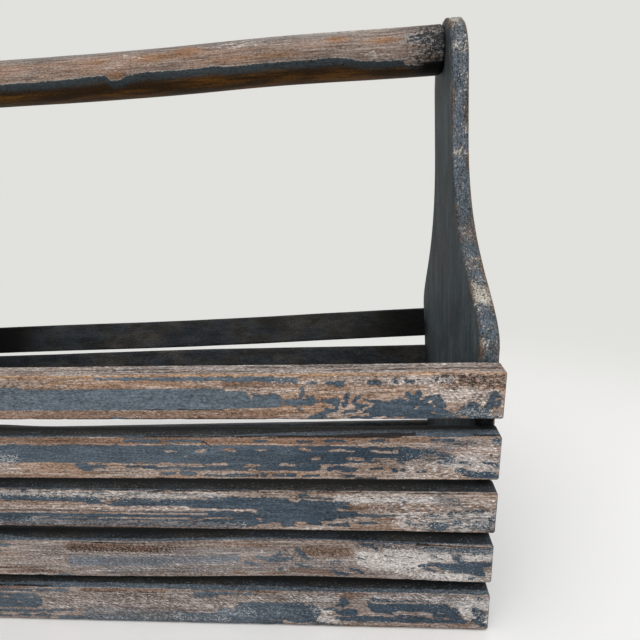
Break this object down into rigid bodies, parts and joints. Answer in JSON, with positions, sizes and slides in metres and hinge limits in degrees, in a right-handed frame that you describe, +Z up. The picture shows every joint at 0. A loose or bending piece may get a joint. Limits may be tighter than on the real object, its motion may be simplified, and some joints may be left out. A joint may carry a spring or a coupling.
{
  "type": "wooden tool caddy",
  "caption": "Rustic open-topped wooden tool caddy with outward-leaning slatted sides, bottle-shaped end boards and a fixed round carrying handle, in worn slate-blue paint.",
  "frame": {"origin": "on the floor under the middle of the box", "axes": "+X along the handle, -Y towards the front, +Z up"},
  "size_m": [0.4807, 0.2532, 0.395],
  "materials": {
    "charcoal_paint": "satin dark charcoal-blue paint, worn to brown wood along the edges",
    "worn_paint": "chipped slate-blue paint over whitish primer and bare pinkish-tan wood",
    "worn_grip": "hand-worn bare brown wood with torn remains of slate-blue paint",
    "dark_iron": "dull dark iron with a little rust"
  },
  "bodies": {
    "root": {"end_board_left": "charcoal_paint", "end_board_right": "charcoal_paint", "handle": "worn_grip", "front_slat_1": "worn_paint", "front_slat_2": "worn_paint", "front_slat_3": "worn_paint", "front_slat_4": "worn_paint", "front_slat_5": "worn_paint", "back_slat_1": "worn_paint", "back_slat_2": "worn_paint", "back_slat_3": "worn_paint", "back_slat_4": "worn_paint", "back_slat_5": "worn_paint", "bottom_slat_1": "worn_paint", "bottom_slat_2": "worn_paint", "bottom_slat_3": "worn_paint", "bottom_slat_4": "worn_paint", "bottom_slat_5": "worn_paint", "front_slat_1_nail_left": "dark_iron", "front_slat_1_nail_right": "dark_iron", "front_slat_2_nail_left": "dark_iron", "front_slat_2_nail_right": "dark_iron", "front_slat_3_nail_left": "dark_iron", "front_slat_3_nail_right": "dark_iron", "front_slat_4_nail_left": "dark_iron", "front_slat_4_nail_right": "dark_iron", "front_slat_5_nail_left": "dark_iron", "front_slat_5_nail_right": "dark_iron", "back_slat_1_nail_left": "dark_iron", "back_slat_1_nail_right": "dark_iron", "back_slat_2_nail_left": "dark_iron", "back_slat_2_nail_right": "dark_iron", "back_slat_3_nail_left": "dark_iron", "back_slat_3_nail_right": "dark_iron", "back_slat_4_nail_left": "dark_iron", "back_slat_4_nail_right": "dark_iron", "back_slat_5_nail_left": "dark_iron", "back_slat_5_nail_right": "dark_iron", "bottom_slat_1_nail_left": "dark_iron", "bottom_slat_1_nail_right": "dark_iron", "bottom_slat_2_nail_left": "dark_iron", "bottom_slat_2_nail_right": "dark_iron", "bottom_slat_3_nail_left": "dark_iron", "bottom_slat_3_nail_right": "dark_iron", "bottom_slat_4_nail_left": "dark_iron", "bottom_slat_4_nail_right": "dark_iron", "bottom_slat_5_nail_left": "dark_iron", "bottom_slat_5_nail_right": "dark_iron", "handle_screw_left": "dark_iron", "handle_screw_right": "dark_iron"}
  },
  "joints": []
}
